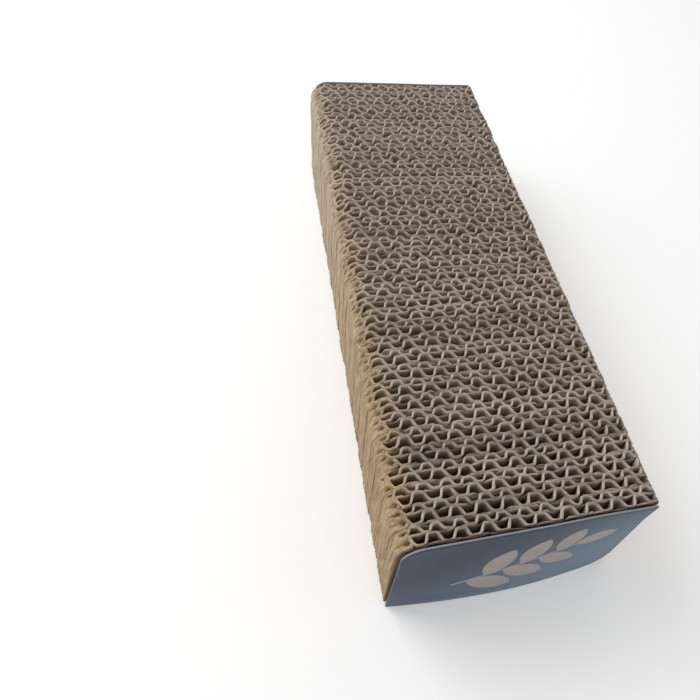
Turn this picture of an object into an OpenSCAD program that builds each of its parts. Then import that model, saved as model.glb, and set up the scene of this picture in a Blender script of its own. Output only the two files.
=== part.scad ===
// Cardboard cat scratcher: a straight bar of double-wall corrugated sheets.
// The sheets stand on edge with their flutes upright and are glued face to face
// along the bar, so the open ends of the flutes are the scratching surface.
// A printed cover card is glued on each end.
// X runs across the bar, Y along it from front to rear, Z up from the resting face.

/* [Bar] */
// Width of the bar, which is the width of every sheet
bar_w = 78; // [62:1:110]
// Height of the bar, which is the length of every flute
bar_h = 46; // [30:1:70]
// Radius of the rounded upper edge on the left side
edge_r = 8; // [4:0.5:14]
// Number of sheets in the stack
sheet_count = 38; // [24:1:54]
// How far the sheets stray sideways from a true stack, from end to end
stray = 0.4; // [0:0.1:1]

/* [Corrugated board] */
// Thickness of each flat liner
liner_t = 0.3; // [0.2:0.05:0.5]
// Thickness of the fluted paper
flute_t = 0.28; // [0.2:0.02:0.4]
// Distance from crest to crest of the large flute
large_pitch = 7.8; // [7:0.1:9]
// Clear height of the large flute between its liners
large_h = 2.95; // [2.4:0.05:4]
// Width of the large flute's flat crest
large_crest = 1.4; // [1:0.1:2.2]
// Distance from crest to crest of the small flute
small_pitch = 6.4; // [5.6:0.1:6.8]
// Clear height of the small flute between its liners
small_h = 1.95; // [1.5:0.05:2.6]
// Width of the small flute's flat crest
small_crest = 1.3; // [0.9:0.1:2]

/* [Cover cards] */
// Thickness of a cover card
card_t = 0.6; // [0.3:0.1:1.5]
// How far a card's left side lies inside the sheets
card_left_inset = 1.8; // [0.5:0.1:3]
// How far a card's right side lies inside the sheets
card_right_inset = 0.6; // [0.5:0.1:3]
// Radius of a card's lower right corner
card_corner_r = 8; // [1:0.5:12]

/* [Glue] */
// Thickness of the glue beads, which is the gap behind a card
glue_t = 0.8; // [0.3:0.1:1.5]
// Width of a glue bead
glue_w = 7; // [3:0.5:10]
// Number of beads behind a card
glue_count = 3; // [2:1:4]
// Distance that the beads keep from the card's edges
glue_margin = 9; // [6:0.5:12]

/* [Hidden] */
// Overrun of a cutting tool past the surface that it cuts
over = 1;
// Facets of a full circle, fine enough to read as round
round_fn = 96;

// Where a crest of each flute lies across the first sheets, as shares of the pitch.
// The boards were cut from longer stock, so each row starts at its own place.
large_phase_shares = [0.85, 0.85, 0.65, 0.55, 0.88, 0.55, 0.79, 0.21, 0.03, 0.58, 0.11, 0.61, 0.11];
small_phase_shares = [0.35, 0.78, 0.19, 0.55, 0.71, 0.40, 0.72, 0.25, 0.05, 0.52, 0.25, 0.97, 0.40];
// The steady drift of the rows from one round of the lists to the next
phase_drift_share = 0.37;
// How far each sheet strays sideways, as shares of the whole stray
stray_shares = [0.5, 0.1, 0.7, 0.3, 0.9, 0.4, 0, 0.8, 0.2, 1, 0.6];

sheet_t = 3 * liner_t + large_h + small_h;
stack_l = sheet_count * sheet_t;
card_w = bar_w - card_left_inset - card_right_inset;
card_edge_r = max(edge_r - card_left_inset, flute_t);
bead_l = bar_h - 2 * glue_margin;

SHEETS = [for (i = [1 : sheet_count]) str("sheet_", i < 10 ? "0" : "", i)];

// Place of a crest along X for a row of the sheet with this index
function phase(shares, pitch, index) =
    let (rounds = floor(index / len(shares)))
    let (share = shares[index % len(shares)] + rounds * phase_drift_share)
    pitch * (share - floor(share));

// One opening between the flute and a liner, standing on its narrow end
module opening(pitch, clear, crest) {
    run = pitch / 2 - crest;
    rise = clear - flute_t;
    half_wall = flute_t / 2 * norm([run, rise]) / rise;
    narrow = crest / 2 + run * flute_t / (2 * rise) - half_wall;
    wide = narrow + run;
    polygon([[narrow, flute_t], [wide, clear], [-wide, clear], [-narrow, flute_t]]);
}

// All the openings of one fluted layer, in turn narrow end down and narrow end up
module flute_row(pitch, clear, crest, start_x) {
    for (i = [-2 : ceil(2 * bar_w / pitch)])
        translate([start_x + i * pitch / 2, i % 2 == 0 ? 0 : clear])
            scale([1, i % 2 == 0 ? 1 : -1])
                opening(pitch, clear, crest);
}

// What the die takes off the sheets outside the rounded upper left edge
module edge_waste() {
    translate([0, -over, bar_h - edge_r])
        difference() {
            translate([-over, 0, 0])
                cube([edge_r + over, sheet_t + 2 * over, edge_r + over]);
            translate([edge_r, -over, 0])
                rotate([-90, 0, 0])
                    cylinder(r = edge_r, h = sheet_t + 4 * over, $fn = round_fn);
        }
}

// One die-cut piece of double-wall board, standing with its large flute to the front
module sheet(index) {
    strayed = stray * (stray_shares[index % len(stray_shares)] - 1 / 2);
    color("tan")
        translate([strayed - bar_w / 2, index * sheet_t - stack_l / 2, 0])
            difference() {
                linear_extrude(bar_h)
                    difference() {
                        square([bar_w, sheet_t]);
                        translate([0, liner_t])
                            flute_row(large_pitch, large_h, large_crest,
                                phase(large_phase_shares, large_pitch, index));
                        translate([0, 2 * liner_t + large_h])
                            flute_row(small_pitch, small_h, small_crest,
                                phase(small_phase_shares, small_pitch, index));
                    }
                edge_waste();
            }
}

// Outline of a cover card, seen from the front, with its lower left corner at the origin
module card_outline() {
    difference() {
        square([card_w, bar_h]);
        translate([0, bar_h - card_edge_r])
            difference() {
                translate([-over, 0])
                    square([card_edge_r + over, card_edge_r + over]);
                translate([card_edge_r, 0])
                    circle(r = card_edge_r, $fn = round_fn);
            }
        translate([card_w - card_corner_r, 0])
            difference() {
                translate([0, -over])
                    square([card_corner_r + over, card_corner_r + over]);
                translate([0, card_corner_r])
                    circle(r = card_corner_r, $fn = round_fn);
            }
    }
}

// A cover card with its back face in the plane y = 0, reaching towards the front
module card() {
    translate([card_left_inset - bar_w / 2, 0, 0])
        rotate([90, 0, 0])
            linear_extrude(card_t)
                card_outline();
}

// Upright glue beads with round ends, from the plane y = 0 towards the front
module glue_beads() {
    first_x = card_left_inset + glue_margin + glue_w / 2 - bar_w / 2;
    last_x = bar_w / 2 - card_right_inset - glue_margin - glue_w / 2;
    for (i = [0 : glue_count - 1])
        translate([first_x + (last_x - first_x) * i / (glue_count - 1), 0, glue_margin])
            rotate([90, 0, 0])
                linear_extrude(glue_t) {
                    translate([-glue_w / 2, glue_w / 2])
                        square([glue_w, bead_l - glue_w]);
                    for (end_z = [glue_w / 2, bead_l - glue_w / 2])
                        translate([0, end_z])
                            circle(d = glue_w, $fn = round_fn);
                }
}

module front_card() {
    color("slategray")
        translate([0, -stack_l / 2 - glue_t, 0])
            card();
}

module front_glue() {
    color("ivory")
        translate([0, -stack_l / 2, 0])
            glue_beads();
}

module rear_glue() {
    color("ivory")
        translate([0, stack_l / 2 + glue_t, 0])
            glue_beads();
}

module rear_card() {
    color("slategray")
        translate([0, stack_l / 2 + glue_t + card_t, 0])
            card();
}

front_card();
front_glue();
for (i = [0 : sheet_count - 1])
    sheet(i);
rear_glue();
rear_card();
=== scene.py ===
import math

import bmesh
import bpy
from mathutils import Matrix, Vector, noise


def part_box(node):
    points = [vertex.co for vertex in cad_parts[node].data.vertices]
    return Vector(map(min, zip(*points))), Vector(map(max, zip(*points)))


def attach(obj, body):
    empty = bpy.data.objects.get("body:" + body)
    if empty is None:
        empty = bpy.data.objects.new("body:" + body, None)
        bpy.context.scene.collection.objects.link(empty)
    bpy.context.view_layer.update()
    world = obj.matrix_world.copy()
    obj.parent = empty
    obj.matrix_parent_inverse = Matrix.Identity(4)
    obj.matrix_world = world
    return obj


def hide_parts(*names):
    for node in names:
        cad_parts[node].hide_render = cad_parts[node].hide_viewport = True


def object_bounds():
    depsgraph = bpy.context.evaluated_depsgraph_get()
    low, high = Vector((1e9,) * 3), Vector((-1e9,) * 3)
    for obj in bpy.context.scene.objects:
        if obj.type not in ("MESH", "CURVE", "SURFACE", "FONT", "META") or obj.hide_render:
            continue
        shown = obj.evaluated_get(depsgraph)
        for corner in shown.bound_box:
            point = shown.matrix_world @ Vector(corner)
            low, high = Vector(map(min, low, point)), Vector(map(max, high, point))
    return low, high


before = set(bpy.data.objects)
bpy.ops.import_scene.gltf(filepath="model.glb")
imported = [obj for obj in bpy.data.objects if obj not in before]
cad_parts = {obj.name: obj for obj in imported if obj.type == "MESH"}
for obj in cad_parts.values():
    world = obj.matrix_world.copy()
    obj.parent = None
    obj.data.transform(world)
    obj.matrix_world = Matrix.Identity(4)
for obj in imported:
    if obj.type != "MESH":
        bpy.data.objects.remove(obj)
cad_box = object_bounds()
mm = 0.001

# Camera: it stands before the bar's left corner, looks down along the bar and is rolled a little.
# The picture is a crop, so the lens axis meets it right of its middle.
picture_side = 700
focal_px = 615.9
axis_px = (450, 340)
film_w = 36
camera_place = Vector((-63.09, -161.87, 204.33)) * mm
looking_right, looking_down, camera_roll = (math.radians(a) for a in (24.878, 50.781, 14.493))

camera = bpy.data.objects.new("camera", bpy.data.cameras.new("camera"))
camera.data.sensor_width = film_w
camera.data.lens = film_w * focal_px / picture_side
camera.data.shift_x = 0.5 - axis_px[0] / picture_side
camera.data.shift_y = axis_px[1] / picture_side - 0.5
camera.matrix_world = (
    Matrix.Translation(camera_place)
    @ Matrix.Rotation(-looking_right, 4, "Z")
    @ Matrix.Rotation(math.pi / 2 - looking_down, 4, "X")
    @ Matrix.Rotation(camera_roll, 4, "Z")
)
bpy.context.scene.collection.objects.link(camera)
bpy.context.scene.camera = camera
bpy.context.scene.view_settings.view_transform = "Standard"


# Studio: a pale floor, an even white surround and one large soft lamp, which hangs high behind the
# bar on its left: the left side is light, the card dark. The floor has a glow that lights nothing
# and is only seen, and it has none under the bar, where it would show through the open flutes.
class Ink:
    """A value or a colour on its way into a finish. Sums with it add the nodes that work them out."""

    def __init__(self, tree, socket=None):
        self.tree = tree
        self.socket = socket

    def node(self, kind, sockets, out=0, **settings):
        """What comes out of a new node of this kind, with these values or inks in its sockets."""
        made = self.tree.nodes.new("ShaderNode" + kind)
        for name, setting in settings.items():
            setattr(made, name, setting)
        for name, value in sockets.items():
            socket = made.inputs[name]
            if isinstance(value, Ink):
                self.tree.links.new(value.socket, socket)
            elif isinstance(value, tuple) and len(socket.default_value) == 4:
                socket.default_value = (*value, 1)
            else:
                socket.default_value = value
        return Ink(self.tree, made.outputs[out])

    def math(self, operation, *others):
        """What a sum of this kind makes of this value and others."""
        return self.node("Math", dict(enumerate((self, *others))), operation=operation)

    def part(self, axis):
        """One of the three numbers of a place: X, Y or Z."""
        return self.node("SeparateXYZ", {0: self}, out=axis)

    def __add__(self, other):
        return self.math("ADD", other)

    def __sub__(self, other):
        return self.math("SUBTRACT", other)

    def __rsub__(self, other):
        return (self * -1.0).math("ADD", other)

    def __mul__(self, other):
        return self.math("MULTIPLY", other)

    def step(self, low, high):
        """Rises smoothly from 0 to 1 as the value goes from low to high."""
        return self.node("MapRange", {0: self, 1: low, 2: high}, interpolation_type="SMOOTHSTEP")

    def mix(self, before, after):
        """The colour before where this value is 0, and after where it is 1."""
        return self.node("Mix", {0: self, 6: before, 7: after}, out=2, data_type="RGBA")

    def feed(self, surface, socket):
        """Links this value to a socket of a material's surface."""
        self.tree.links.new(self.socket, surface.inputs[socket])

    __radd__ = __add__
    __rmul__ = __mul__


def finish(name, roughness):
    """A new material with a plain surface, its nodes, and the place on the piece that they read."""
    material = bpy.data.materials.new(name)
    material.use_nodes = True
    surface = material.node_tree.nodes["Principled BSDF"]
    surface.inputs["Roughness"].default_value = roughness
    nodes = Ink(material.node_tree)
    return material, surface, nodes, nodes.node("TexCoord", {}, out="Object")


def colour(red, green, blue):
    """A colour written as on screen, from 0 to 255, as the light that a surface gives back."""
    return tuple((c / 255) ** 2.2 for c in (red, green, blue))


floor_side, floor_drop = 4.0, 0.05 * mm
floor_colour, floor_roughness = colour(238, 238, 238), 0.7
floor_glow, glow_inset = 0.2, 2 * mm
black, white = (0.0, 0.0, 0.0), (1.0, 1.0, 1.0)
surround_strength = 0.6
lamp_side, lamp_power = 0.9, 9.0
lamp_place = Vector((-0.7, 0.6, 0.8))

mesh = bpy.data.meshes.new("floor")
shape = bmesh.new()
bmesh.ops.create_grid(shape, x_segments=1, y_segments=1, size=floor_side / 2)
bmesh.ops.translate(shape, verts=shape.verts, vec=(0, 0, -floor_drop))
shape.to_mesh(mesh)
shape.free()
floor = bpy.data.objects.new("floor", mesh)
bpy.context.scene.collection.objects.link(floor)
material, surface, nodes, place = finish("floor_paint", floor_roughness)
surface.inputs["Base Color"].default_value = (*floor_colour, 1)
surface.inputs["Emission Strength"].default_value = floor_glow
by_camera, by_gloss, by_glass = (
    nodes.node("LightPath", {}, out=f"Is {kind} Ray") for kind in ("Camera", "Glossy", "Transmission")
)
seen = by_camera.math("MAXIMUM", by_gloss).math("MAXIMUM", by_glass)
beside_bar = place.part("X").math("ABSOLUTE").math("GREATER_THAN", cad_box[1][0] - glow_inset)
past_bar = place.part("Y").math("ABSOLUTE").math("GREATER_THAN", cad_box[1][1] - glow_inset)
glowing = seen * beside_bar.math("MAXIMUM", past_bar)
glowing.mix(black, white).feed(surface, "Emission Color")
mesh.materials.append(material)

world = bpy.data.worlds.new("surround")
world.use_nodes = True
world.node_tree.nodes["Background"].inputs["Color"].default_value = (*white, 1)
world.node_tree.nodes["Background"].inputs["Strength"].default_value = surround_strength
bpy.context.scene.world = world

lamp = bpy.data.objects.new("lamp", bpy.data.lights.new("lamp", "AREA"))
lamp.data.shape = "SQUARE"
lamp.data.size = lamp_side
lamp.data.energy = lamp_power
lamp.location = lamp_place
lamp.rotation_euler = (-lamp_place).to_track_quat("-Z", "Y").to_euler()
bpy.context.scene.collection.objects.link(lamp)

# Corrugated sheets: each is double-wall board of three flat liners and two fluted papers, die-cut
# to the bar's outline with one rounded upper edge, and glued to the next. The knife leaves every
# cut edge thick and fuzzy, and folds the papers over at the two sides, which closes the flutes there.
liner_t, paper_t = 0.3 * mm, 0.28 * mm
large_pitch, large_h = 7.8 * mm, 2.95 * mm
small_pitch, small_h = 6.4 * mm, 1.95 * mm
edge_r = 8 * mm
large_phase_shares = [0.85, 0.85, 0.65, 0.55, 0.88, 0.55, 0.79, 0.21, 0.03, 0.58, 0.11, 0.61, 0.11]
small_phase_shares = [0.35, 0.78, 0.19, 0.55, 0.71, 0.40, 0.72, 0.25, 0.05, 0.52, 0.25, 0.97, 0.40]
phase_drift_share = 0.37
sheet_names = sorted(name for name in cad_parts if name.startswith("sheet_"))
first_low, first_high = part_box(sheet_names[0])
last_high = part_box(sheet_names[-1])[1]
bar_h = first_high.z
sheet_w = first_high.x - first_low.x
sheet_t = first_high.y - first_low.y
second_liner = liner_t + large_h
third_liner = second_liner + liner_t + small_h


def smooth(value, low, high):
    """Rises smoothly from 0 to 1 as the value goes from low to high."""
    share = min(max((value - low) / (high - low), 0), 1)
    return share * share * (3 - 2 * share)


def top_at(across):
    """Height of the cut upper edge at a distance from the sheet's left side."""
    inward = max(edge_r - across, 0)
    return bar_h - edge_r + math.sqrt(edge_r**2 - inward**2)


def depth_of(across, height):
    """How far a point lies below the nearest cut edge at the top or at the two sides."""
    if across < edge_r and height > bar_h - edge_r:
        return max(edge_r - math.hypot(edge_r - across, height - bar_h + edge_r), 0)
    return max(min(across, sheet_w - across, bar_h - height), 0)


def phase(shares, pitch, index):
    """Where a crest lies across the sheet with this index. The shares drift from round to round."""
    share = shares[index % len(shares)] + index // len(shares) * phase_drift_share
    return pitch * (share % 1)


def wobble(*place):
    """Smooth noise from -1 to 1. Strides from sheet to sheet and lanes keep its patterns apart."""
    return noise.noise(Vector(place))


push_depth = 2.5 * mm
wide_push, wide_push_at_cut, wide_scale = 0.12 * mm, 0.3 * mm, 14 * mm
fine_push, fine_scale, fine_lane = 0.26 * mm, 4.5 * mm, Vector((7, 3, 5))
crumple_push, crumple_scale, crumple_lane = 0.14 * mm, 1.8 * mm, Vector((1, 9, 4))
push_share_across, push_share_up = 0.7, 0.2
noise_seed = 7

# Without a seed the clock sets the vector noise, and no two runs agree
noise.seed_set(noise_seed)


def bend(point, depth):
    """Where the knife and the handling have pushed the papers, which is most at their cut edges."""
    near = math.exp(-depth / push_depth)
    wide = noise.noise_vector(point / wide_scale)
    fine = noise.noise_vector(point / fine_scale + fine_lane)
    crumple = noise.noise_vector(point / crumple_scale + crumple_lane)
    push = wide * (wide_push + wide_push_at_cut * near)
    push += fine * (fine_push * near) + crumple * (crumple_push * near**2)
    return Vector((push.x * push_share_across, push.y, push.z * push_share_up))


# The third share marks a painted highlight: the flute walls that face the lamp are painted paler.
finish_shares = ("near_cut", "near_side", "flank_highlight")
cut_shade_depth = 2.2 * mm
fray_depth, lip_thinning, lip_depth = 1.1 * mm, 0.35, 0.1 * mm
fray_mean, fray_spread, fray_scale, fray_lane = 0.9, 0.5, 2.4 * mm, Vector((5, 0, 0))
ragged_h, ragged_scale, ragged_lane = 0.12 * mm, 0.9 * mm, Vector((0, 0, 11))


def lay(shape, kind, steps, place_of):
    """A grid of one kind of paper, with the shares that its finish reads and the fray that thickens it.

    place_of gives a point, its depth, its fray, its share of folded side, and its share of painted highlight
    on an upright flank.
    """
    cut_layer, side_layer, lit_flank_layer = (shape.verts.layers.float[name] for name in finish_shares)
    fray_layer = shape.verts.layers.deform.verify()
    made = bmesh.ops.create_grid(shape, x_segments=steps[0], y_segments=steps[1], size=1)["verts"]
    for face in {face for vert in made for face in vert.link_faces}:
        face.material_index = kind
    for vert in made:
        point, depth, fray, side, lit_flank = place_of((vert.co.x + 1) / 2, (vert.co.y + 1) / 2)
        point += bend(point, depth)
        ragged = noise.noise(point / ragged_scale + ragged_lane)
        uneven = fray_mean + fray_spread * noise.noise(point / fray_scale + fray_lane)
        near = math.exp(-((depth / fray_depth) ** 2)) * (1 - lip_thinning * math.exp(-depth / lip_depth))
        point.z = max(point.z + ragged_h * ragged * near * smooth(point.z, 0, bar_h / 2), 0)
        vert.co = point
        vert[cut_layer] = math.exp(-depth / cut_shade_depth)
        vert[side_layer] = side
        vert[lit_flank_layer] = lit_flank
        vert[fray_layer][0] = min(fray * near * uneven, 1)


paper_rows, row_crowding = 10, 2.5
rounded_share = 0.13
left_fade, right_fade, top_fade = (3.5 * mm, 9 * mm), (1 * mm, 3 * mm), (1.5 * mm, 6 * mm)
side_shade_depth = 2 * mm


def paper(shape, kind, steps_across, fray, insets, middle, drop):
    """One paper of a sheet, stood up along the bar's width and ending a little inside its two sides.

    middle gives its shift to the right, its y, its share of the fray and its share of flank. drop
    gives how far its cut edge stays below the sheet's outline.
    """
    def place_of(u, v):
        if u < rounded_share:
            across = edge_r * (1 - math.cos(math.pi / 2 * u / rounded_share))
        else:
            across = edge_r + (sheet_w - edge_r) * (u - rounded_share) / (1 - rounded_share)
        across = insets[0] + (sheet_w - sum(insets)) * across / sheet_w
        height = (top_at(across) - drop(across)) * (1 - (1 - v) ** row_crowding)
        depth = depth_of(across, height)
        left_side = 1 - smooth(across, *left_fade)
        right_side = (1 - smooth(sheet_w - across, *right_fade)) * smooth(bar_h - height, *top_fade)
        side = math.exp(-depth / side_shade_depth) * max(left_side, right_side)
        shift, y, fray_share, lit_flank = middle(across, height)
        point = Vector((sheet_left + across + shift, sheet_front + y, height + sheet_rise))
        return point, depth, fray * fray_share, side, lit_flank

    lay(shape, kind, (steps_across, paper_rows), place_of)


flute_steepness, flute_skew, skew_fade = 2.2, 0.06 * mm, 3 * mm
crest_spread, crest_spread_depth = 0.2 * mm, 1.5 * mm
wander, wander_scale, wander_scale_up, wander_stride = 0.5 * mm, 9 * mm, 40 * mm, 7.3
jitter, jitter_scale, jitter_stride, jitter_lane = 0.45 * mm, 3.2 * mm, 4.1, 1.5
reach_spread, reach_scale, reach_stride, reach_lane = 0.2, 3 * mm, 5.9, 3.1
# Painted highlight: the flanks on one side of each flute face the lamp and get a larger share.
lit_side_mean, lit_side_spread, lit_side_steepness = 0.6, 0.4, 3
flank_fray = 0.1


def flute(pitch, clear, start, foot, sheet):
    """A fluted paper: broad crests on the two liners, joined by steep flanks and skewed a little.

    It strays from its even pitch and height, and its crests spread where the knife has pressed.
    """
    def middle(across, height):
        astray = wander * wobble(across / wander_scale, sheet * wander_stride, height / wander_scale_up)
        astray += jitter * wobble(across / jitter_scale, sheet * jitter_stride, jitter_lane)
        turn = 2 * math.pi * (across + astray - start) / pitch
        reach = (clear - paper_t) / 2
        reach += crest_spread * math.exp((height - top_at(across)) / crest_spread_depth)
        reach *= 1 + reach_spread * wobble(across / reach_scale, sheet * reach_stride, reach_lane)
        rise = math.tanh(flute_steepness * math.cos(turn))
        y = foot + clear / 2 - reach * rise / math.tanh(flute_steepness)
        # Painted highlight: marks the flanks that face the lamp, to be painted paler.
        lit_side = lit_side_mean + lit_side_spread * math.tanh(lit_side_steepness * math.sin(turn))
        lit_flank = lit_side * (1 - rise**2)
        fray_share = 1 - flank_fray + flank_fray * lit_flank
        return flute_skew * rise * smooth(across, 0, skew_fade), y, fray_share, lit_flank

    return middle


fold_reach, fold_spread, shortest_fold = 3.2 * mm, 1.6 * mm, 1.2 * mm
fold_stride, fold_lane = 3.7, 2.3
flute_drop, drop_before_end, drop_gone_before_end = 1.3 * mm, 1.3 * mm, 0.3 * mm


def fold_end_of(pitch, start, wanted):
    """Where a layer's folded side ends: at the flank of its flute that is nearest to the wanted place."""
    half = pitch / 2
    end = start + half * (round((wanted - start) / half - 0.5) + 0.5)
    return end if end > shortest_fold else end + half


def flute_below(fold_end):
    """A flute's cut edge stays below the folded side and rises to the outline where the fold ends."""
    low, high = fold_end - drop_before_end, fold_end - drop_gone_before_end
    return lambda across: flute_drop * (1 - smooth(across, low, high))


washboard = 0.2 * mm
liner_inset, liner_drop, torn_drop = 0.12 * mm, 0.08 * mm, 1.2 * mm
torn_scale, torn_stride, torn_lane, torn_full = 3.5 * mm, 6.7, 9.2, 0.2
drop_fade = (2 * mm, 6 * mm)


def liner(foot, start):
    """A flat liner, which the crests of the flutes have drawn into a shallow washboard."""
    def middle(across, height):
        wave = math.cos(2 * math.pi * (across - start) / large_pitch)
        return 0, foot + liner_t / 2 + washboard * wave, 1, 0

    return middle


def liner_below(sheet):
    """A liner's cut edge is a little below the flutes' edges, and in places it is torn down further."""
    def drop(across):
        torn = smooth(wobble(across / torn_scale, sheet * torn_stride, torn_lane), 0, torn_full)
        return liner_inset + (liner_drop + torn_drop * torn) * smooth(across, *drop_fade)

    return drop


side_steps, left_rows, right_rows = 14, 32, 16
left_straight_share, right_below_top = 0.4, 0.1 * mm
gape_mean, gape_spread, gape_stride, gape_lane = 1.3, 0.9, 2.3, 8.1
gape_before_end, gape_half_length = 2.1 * mm, 1 * mm
seam_middle, seam_wander, seam_scale, seam_stride = 0.5, 0.45, 16 * mm, 5.1
seam_half_w, seam_half_w_gaping = 0.12, 0.06
slit_scale, slit_stride, slit_lane, slit_fade = 4 * mm, 1.7, 3, (0.1, 0.6)
crease_scale_across, crease_scale, crease_stride = 2.5, 7 * mm, 2.9
pleats, pleat_scale, pleat_stride, pleat_sharpness = 3, 40 * mm, 0.7, 8
side_depth, crease_depth, pleat_depth = 0.08 * mm, 0.08 * mm, 0.12 * mm
seam_depth, slit_depth, gape_depth = 0.2 * mm, 1.5 * mm, 2.6 * mm
round_unfolded, round_fade = 0.6, (0.4, 1.2)


def folded_side(shape, on_left, foot, clear, sheet, fold_end):
    """One layer's cut side: its papers are folded over and close it, but for a seam between them.

    On the left it goes round the rounded edge as far as fold_end, and its seam gapes before that.
    """
    straight = bar_h - edge_r if on_left else bar_h - right_below_top
    bent = edge_r * math.acos(1 - fold_end / edge_r) if on_left else 0
    straight_share = left_straight_share if on_left else 1
    layer_lane = foot / mm
    widest = gape_mean + gape_spread * wobble(sheet * gape_stride, gape_lane, layer_lane)

    def place_of(u, v):
        run = straight * min(v / straight_share, 1)
        if v > straight_share:
            run += bent * (v - straight_share) / (1 - straight_share)
        angle = max(run - straight, 0) / edge_r
        from_gape = (straight + bent - run - gape_before_end) / gape_half_length
        gape = widest * math.exp(-(from_gape**2)) if on_left else 0
        seam_at = seam_middle + seam_wander * wobble(sheet * seam_stride, run / seam_scale, layer_lane)
        from_seam = (u - seam_at) / (seam_half_w + seam_half_w_gaping * gape)
        slit = max(wobble(sheet * slit_stride, run / slit_scale, layer_lane + slit_lane), 0)
        crease = wobble(u * crease_scale_across, run / crease_scale, sheet * crease_stride + layer_lane)
        pleat_turn = math.pi * (pleats * u + run / pleat_scale + sheet * pleat_stride)
        depth = side_depth + crease_depth * crease + pleat_depth * math.sin(pleat_turn) ** pleat_sharpness
        opened = seam_depth + slit_depth * slit * smooth(angle, *slit_fade) + gape_depth * gape
        depth += opened * math.exp(-(from_seam**2))
        inward = edge_r * (1 - math.cos(angle)) + depth * math.cos(angle)
        height = min(run, straight) + (edge_r - depth) * math.sin(angle)
        across = inward if on_left else sheet_w - inward
        point = Vector((sheet_left + across, sheet_front + foot + clear * u, height + sheet_rise))
        if on_left:
            return point, 0, 0, 1 - round_unfolded * smooth(angle, *round_fade), 0
        return point, 0, 0, smooth(bar_h - height, *top_fade), 0

    lay(shape, folded_kind, (side_steps, left_rows if on_left else right_rows), place_of)


cloud_scale, worn_scale, speck_scale = 90.0, 420.0, 2600.0
grain_scales = (1400.0, 1400.0, 110.0)
tone_weights = {"cloud": 0.6, "worn": 1.0, "grain": 0.6, "speck": 0.3, "shade": 0.3}
streak_weights = {"cloud": 0.3, "grain": 1.6, "worn": 0.3, "shade": 0.12}
bump_weights = {"grain": 0.6, "speck": 0.4}
tone_centre, streak_centre, contrast = 0.9, 0.66, (0.1, 0.9)
fibre_h, kraft_roughness = 0.06 * mm, 0.9
# The second colour is a painted highlight, for the cut edges of flute walls that face the lamp.
cut_colour, cut_highlight_colour = colour(184, 169, 158), colour(196, 182, 171)
folded_dark, folded_pale = colour(142, 116, 84), colour(188, 163, 129)
# Painted light: the folded sides are painted paler towards the rear, where the lamp hangs.
rear_lit_dark, rear_lit_pale = colour(160, 143, 121), colour(202, 188, 170)
rear_light_range = (-100 * mm, 110 * mm)
# Painted shade: the two end faces of the stack lie in the cards' shade and are painted darker, less so on the
# folded sides.
end_shade_colour, end_shade_full, end_shade_gone, side_unshaded = colour(96, 72, 62), 0.1 * mm, 0.5 * mm, 0.8


def weighed(patterns, weights):
    """Patterns added up by their weights."""
    return sum(patterns[name] * weight for name, weight in weights.items())


def kraft(name, dark, pale, fibre_strength, cut_share=0, flank_highlight_share=0):
    """Brown kraft paper: grain along the flutes, a shade for each sheet, and paler where it is cut.

    Where it is folded over it is warmer and streaked, and painted paler towards the rear as painted
    light from the lamp there. The two end faces of the stack are darkened with painted shade from the cards.
    """
    material, surface, nodes, place = finish(name, kraft_roughness)
    y = place.part("Y")
    stretched = nodes.node("VectorMath", {0: place, 1: grain_scales}, operation="MULTIPLY")
    sheet_number = ((y - first_low.y) * (1 / sheet_t)).math("FLOOR")
    patterns = {
        "cloud": nodes.node("TexNoise", {"Vector": place, "Scale": cloud_scale, "Detail": 3.0}),
        "worn": nodes.node("TexNoise", {"Vector": place, "Scale": worn_scale, "Detail": 2.0}),
        "grain": nodes.node("TexNoise", {"Vector": stretched, "Scale": 1.0, "Detail": 4.0}),
        "speck": nodes.node("TexNoise", {"Vector": place, "Scale": speck_scale, "Detail": 2.0}),
        "shade": nodes.node("TexWhiteNoise", {"W": sheet_number}, noise_dimensions="1D"),
    }
    near_cut, near_side, flank_highlight = (
        nodes.node("Attribute", {}, out="Fac", attribute_name=share) for share in finish_shares
    )
    tone = (weighed(patterns, tone_weights) - tone_centre).step(*contrast)
    paper_colour = tone.mix(dark, pale)
    paper_colour = (near_cut * cut_share).mix(paper_colour, cut_colour)
    # Painted highlight on the flute walls that face the lamp.
    paper_colour = (flank_highlight * near_cut * flank_highlight_share).mix(paper_colour, cut_highlight_colour)
    # Painted light: paler towards the rear, where the lamp hangs.
    rear_lit = y.step(*rear_light_range)
    streaks = (weighed(patterns, streak_weights) - streak_centre).step(*contrast)
    folded = streaks.mix(
        rear_lit.mix(folded_dark, rear_lit_dark),
        rear_lit.mix(folded_pale, rear_lit_pale),
    )
    paper_colour = near_side.mix(paper_colour, folded)
    # Painted shade on the end faces of the stack, where the cards shadow them.
    end_shade = y.step(first_low.y + end_shade_gone, first_low.y + end_shade_full)
    end_shade += y.step(last_high.y - end_shade_gone, last_high.y - end_shade_full)
    (end_shade * (1 - near_side * side_unshaded)).mix(paper_colour, end_shade_colour).feed(surface, "Base Color")
    height = weighed(patterns, bump_weights)
    bump = nodes.node("Bump", {"Height": height, "Distance": fibre_h, "Strength": fibre_strength})
    bump.feed(surface, "Normal")
    return material


flat_fibres, cut_fibres, folded_fibres = 0.5, 0.9, 0.6
liner_dark, liner_pale, liner_cut_share = colour(128, 110, 94), colour(162, 142, 122), 0.3
liner_edge_dark, liner_edge_pale = colour(112, 99, 90), colour(168, 154, 144)
large_dark, large_pale, large_cut_share = colour(153, 133, 113), colour(187, 167, 145), 0.95
small_dark, small_pale, small_cut_share = colour(179, 160, 139), colour(207, 189, 168), 0.7
flute_edge_dark, flute_edge_pale = colour(110, 97, 87), colour(171, 157, 147)
# Shares of the painted highlight on flute walls that face the lamp, for the papers and their cut edges.
flute_flank_highlight, edge_flank_highlight = 0.4, 0.8
side_dark, side_pale = colour(116, 100, 80), colour(158, 141, 120)
side_edge_dark, side_edge_pale = colour(118, 104, 93), colour(164, 150, 140)

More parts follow.
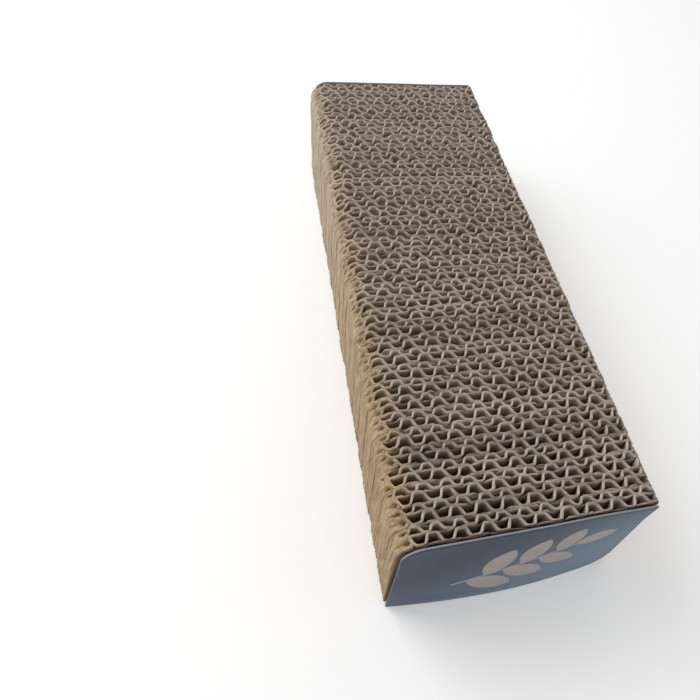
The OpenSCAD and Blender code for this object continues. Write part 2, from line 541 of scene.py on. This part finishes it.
# Each paper's finish, followed by that of its cut edge
liner_kind, large_kind, small_kind, folded_kind = 0, 2, 4, 6
sheet_finishes = (
    kraft("liner_paper", liner_dark, liner_pale, flat_fibres, liner_cut_share),
    kraft("cut_liner_edge", liner_edge_dark, liner_edge_pale, cut_fibres),
    kraft("large_flute_paper", large_dark, large_pale, flat_fibres, large_cut_share, flute_flank_highlight),
    kraft("cut_large_flute_edge", flute_edge_dark, flute_edge_pale, cut_fibres, flank_highlight_share=edge_flank_highlight),
    kraft("small_flute_paper", small_dark, small_pale, flat_fibres, small_cut_share, flute_flank_highlight),
    kraft("cut_small_flute_edge", flute_edge_dark, flute_edge_pale, cut_fibres, flank_highlight_share=edge_flank_highlight),
    kraft("folded_side_paper", side_dark, side_pale, folded_fibres),
    kraft("folded_side_edge", side_edge_dark, side_edge_pale, cut_fibres),
)
liner_steps, flute_steps = 90, 184
frayed_t = 0.94 * mm
large_fray, small_fray, liner_fray = 0.96, 0.92, 0.66
flute_insets, liner_insets = (0.9 * mm, 0.35 * mm), (liner_inset, liner_inset)
rise_spread, rise_stride, rise_lanes = 0.35 * mm, 0.83, (4.1, 2.6)

for index, name in enumerate(sheet_names):
    low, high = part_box(name)
    sheet_left, sheet_front = low.x, low.y
    sheet_rise = rise_spread * wobble(index * rise_stride, *rise_lanes)
    large_start = phase(large_phase_shares, large_pitch, index)
    small_start = phase(small_phase_shares, small_pitch, index)
    shape = bmesh.new()
    for layer in finish_shares:
        shape.verts.layers.float.new(layer)
    # The rear liner is of the same pale paper as the small flute
    for kind, foot, start in (
        (liner_kind, 0, large_start + large_pitch / 2),
        (liner_kind, second_liner, large_start + large_pitch / 2),
        (small_kind, third_liner, large_start),
    ):
        flat, drop = liner(foot, start), liner_below(index + foot / sheet_t)
        paper(shape, kind, liner_steps, liner_fray, liner_insets, flat, drop)
    for kind, fray, pitch, clear, start, foot in (
        (large_kind, large_fray, large_pitch, large_h, large_start, liner_t),
        (small_kind, small_fray, small_pitch, small_h, small_start, second_liner + liner_t),
    ):
        odd = wobble(index * fold_stride, fold_lane, kind)
        fold_end = fold_end_of(pitch, start, fold_reach + fold_spread * odd)
        wavy = flute(pitch, clear, start, foot, index + kind / len(sheet_finishes))
        paper(shape, kind, flute_steps, fray, flute_insets, wavy, flute_below(fold_end))
        for on_left in (True, False):
            folded_side(shape, on_left, foot - liner_t / 2, clear + liner_t, index, fold_end)
    mesh = bpy.data.meshes.new(name + "_board")
    shape.to_mesh(mesh)
    shape.free()
    for material in sheet_finishes:
        mesh.materials.append(material)
    mesh.shade_smooth()
    board = bpy.data.objects.new(name + "_board", mesh)
    board.vertex_groups.new(name="fray")
    bpy.context.scene.collection.objects.link(board)
    wall = board.modifiers.new("wall", "SOLIDIFY")
    wall.thickness = frayed_t
    wall.offset = 0
    wall.vertex_group = "fray"
    wall.thickness_vertex_group = paper_t / frayed_t
    wall.material_offset_rim = 1
    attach(board, "root")
    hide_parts(name)

# Cover cards: a stiff printed card on each end, cut to the bar's outline with its lower right
# corner rounded. The print is a plain slate ground with a pale sprig of leaves, and painted light
# makes the ground paler to the lower right. The cut edge shows the pale core, and the lower edge
# has come away and bows outwards.
card_corner_r, card_edge_r = 8 * mm, 6.2 * mm
card_core_t = 0.6 * mm
slate_dark, slate_pale = colour(48, 58, 75), colour(117, 136, 155)
leaf_dark, leaf_pale = colour(157, 148, 143), colour(180, 170, 164)
slate_roughness, slate_roughness_spread, slate_sheen = 0.42, 0.2, 0.3
mottle_scale, print_speck_scale, print_bump_h, print_bump_strength = 320.0, 2400.0, 0.03 * mm, 0.35
light_right, light_down, light_range = 0.6, 0.9, (-45 * mm, 8 * mm)
ground_mottle_weights, print_bump_weights = {"mottle": 0.7, "speck": 0.3}, {"mottle": 0.6, "speck": 0.4}
mottle_share = 0.1
stem_foot, stem_rise = Vector((-15, 15)) * mm, Vector((33, 12)) * mm
stem_half_w, stem_tail, stem_soft = 0.45 * mm, 5.1 * mm, 0.1 * mm
leaf_count, leaf_lean, leaf_bulge_share, leaf_soft = 7, math.radians(48), 0.25, 0.12 * mm
first_leaf_length, leaf_shortening = 18 * mm, 0.7 * mm


def leaf(x, z, foot, lean, length):
    """Where a leaf of two arcs is on the print. It starts at its foot and points along its lean."""
    ahead = Vector((math.cos(lean), math.sin(lean)))
    beside = Vector((-math.sin(lean), math.cos(lean)))
    half, bulge = length / 2, length * leaf_bulge_share
    radius = (half**2 + bulge**2) / (2 * bulge)
    sides = []
    for turn in (-1, 1):
        centre = foot + ahead * half + beside * turn * (radius - bulge)
        dx, dz = x - centre.x, z - centre.y
        sides.append((dx * dx + dz * dz).math("SQRT").step(radius + leaf_soft, radius - leaf_soft))
    return sides[0] * sides[1]


def sprig(x, z):
    """Where the sprig is on the print: a stem with leaves on its two sides in turn and one at its tip."""
    way = stem_rise.normalized()
    along = (x - stem_foot.x) * way.x + (z - stem_foot.y) * way.y
    beside = ((z - stem_foot.y) * way.x - (x - stem_foot.x) * way.y).math("ABSOLUTE")
    from_tail = along.step(-stem_tail - stem_soft, -stem_tail + stem_soft)
    to_tip = along.step(stem_rise.length + stem_soft, stem_rise.length)
    mask = beside.step(stem_half_w + stem_soft, stem_half_w - stem_soft) * from_tail * to_tip
    for count in range(leaf_count):
        at_tip = count == leaf_count - 1
        side = 0 if at_tip else (-1, 1)[count % 2]
        foot = stem_foot + stem_rise * (count / (leaf_count - 1))
        lean = math.atan2(stem_rise.y, stem_rise.x) + side * leaf_lean
        mask = mask.math("MAXIMUM", leaf(x, z, foot, lean, first_leaf_length - leaf_shortening * count))
    return mask


def printed():
    """Slate print with a pale sprig, mottled a little, with painted light paler to its lower right."""
    material, surface, nodes, place = finish("slate_print", slate_roughness)
    surface.inputs["Specular IOR Level"].default_value = slate_sheen
    x, z = place.part("X"), place.part("Z")
    patterns = {
        "mottle": nodes.node(
            "TexNoise", {"Vector": place, "Scale": mottle_scale, "Detail": 5.0, "Roughness": 0.6}
        ),
        "speck": nodes.node("TexNoise", {"Vector": place, "Scale": print_speck_scale, "Detail": 2.0}),
    }
    # Painted light: the ground is painted paler towards the lower right, as if more light fell there.
    lit_and_mottled = (x * light_right - z * light_down).step(*light_range) * (1 - mottle_share)
    lit_and_mottled += weighed(patterns, ground_mottle_weights) * mottle_share
    ground = lit_and_mottled.mix(slate_dark, slate_pale)
    leaves = patterns["mottle"].mix(leaf_dark, leaf_pale)
    sprig(x, z).mix(ground, leaves).feed(surface, "Base Color")
    (patterns["mottle"] * slate_roughness_spread + slate_roughness).feed(surface, "Roughness")
    height = weighed(patterns, print_bump_weights)
    bump = nodes.node("Bump", {"Height": height, "Distance": print_bump_h, "Strength": print_bump_strength})
    bump.feed(surface, "Normal")
    return material


core_dark, core_pale = colour(118, 120, 124), colour(150, 152, 155)
core_roughness, core_scale = 0.85, 1800.0


def card_core():
    """The uncoated core of the card, which shows at its cut edge and on its back."""
    material, surface, nodes, place = finish("card_core", core_roughness)
    fibres = nodes.node("TexNoise", {"Vector": place, "Scale": core_scale, "Detail": 4.0})
    fibres.mix(core_dark, core_pale).feed(surface, "Base Color")
    return material


print_finish, core_finish = printed(), card_core()
bow_out, bow_fullness, bow_fall = 2.7 * mm, 0.8, 1.4
lean_out, lean_fall = 0.4 * mm, 2
curl_out, curl_up, curl_half_h = 0.5 * mm, 3 * mm, 1.6 * mm
curl_starts, curl_ends = (0.05, 0.2), (0.4, 0.6)
corner_out, corner_from_share, corner_h = 0.5 * mm, 0.7, 12 * mm


def card_bow(share_across, up):
    """How far a card stands out, because its lower edge has come away from the glue and curled.

    Its upper right corner is bent outward a little too.
    """
    share_down = 1 - up / bar_h
    bow = bow_out * math.sin(math.pi * share_across) ** bow_fullness * share_down**bow_fall
    lean = lean_out * (1 - share_across) ** lean_fall * share_down
    curl_share = smooth(share_across, *curl_starts) * (1 - smooth(share_across, *curl_ends))
    curl = curl_out * curl_share * math.exp(-(((up - curl_up) / curl_half_h) ** 2))
    corner = corner_out * smooth(share_across, corner_from_share, 1) * smooth(up, bar_h - corner_h, bar_h)
    return bow + lean + curl + corner


card_steps_across, card_steps_up = 72, 36
right_pressed_in = 0.55 * mm
askew_out, askew_fall = 1.4 * mm, 4


def card_piece(name, outward):
    """A card whose print faces outward along y, stood as a grid from its lower to its upper edge."""
    low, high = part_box(name)
    width, height = high.x - low.x, high.z - low.z
    middle = (low.y + high.y) / 2
    shape = bmesh.new()
    bmesh.ops.create_grid(shape, x_segments=card_steps_across, y_segments=card_steps_up, size=1)
    for vert in shape.verts:
        u, v = (vert.co.x + 1) / 2, (vert.co.y + 1) / 2
        across = width * (1 - math.cos(math.pi * u)) / 2
        inward_left = max(card_edge_r - across, 0)
        inward_right = max(card_corner_r - (width - across), 0)
        top = height - card_edge_r + math.sqrt(card_edge_r**2 - inward_left**2)
        bottom = card_corner_r - math.sqrt(card_corner_r**2 - inward_right**2)
        up = bottom + (top - bottom) * v
        out = card_bow(across / width, up) - right_pressed_in * smooth(across, width / 2, width)
        askew = askew_out * (1 - up / height) * (1 - across / width) ** askew_fall
        vert.co = (low.x + across - askew, middle + outward * out, up)
    if outward > 0:
        bmesh.ops.reverse_faces(shape, faces=shape.faces)
    mesh = bpy.data.meshes.new(name + "_printed")
    shape.to_mesh(mesh)
    shape.free()
    for material in (print_finish, core_finish):
        mesh.materials.append(material)
    mesh.shade_smooth()
    piece = bpy.data.objects.new(name + "_printed", mesh)
    bpy.context.scene.collection.objects.link(piece)
    wall = piece.modifiers.new("core", "SOLIDIFY")
    wall.thickness = card_core_t
    wall.offset = 0
    wall.material_offset = 1
    wall.material_offset_rim = 1
    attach(piece, "root")
    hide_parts(name)


card_piece("front_card", outward=-1)
card_piece("rear_card", outward=1)

# Glue: three upright beads of hot melt between each card and the first liner behind it. The card
# was pressed onto them, so they are flat. They keep their own shape and get a milky finish here.
glue_dark, glue_pale = colour(196, 184, 158), colour(222, 212, 188)
glue_scale, glue_roughness = 260.0, 0.4
material, surface, nodes, place = finish("hot_melt", glue_roughness)
cloud = nodes.node("TexNoise", {"Vector": place, "Scale": glue_scale, "Detail": 3.0})
cloud.mix(glue_dark, glue_pale).feed(surface, "Base Color")
for name in ("front_glue", "rear_glue"):
    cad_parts[name].data.materials.clear()
    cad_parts[name].data.materials.append(material)
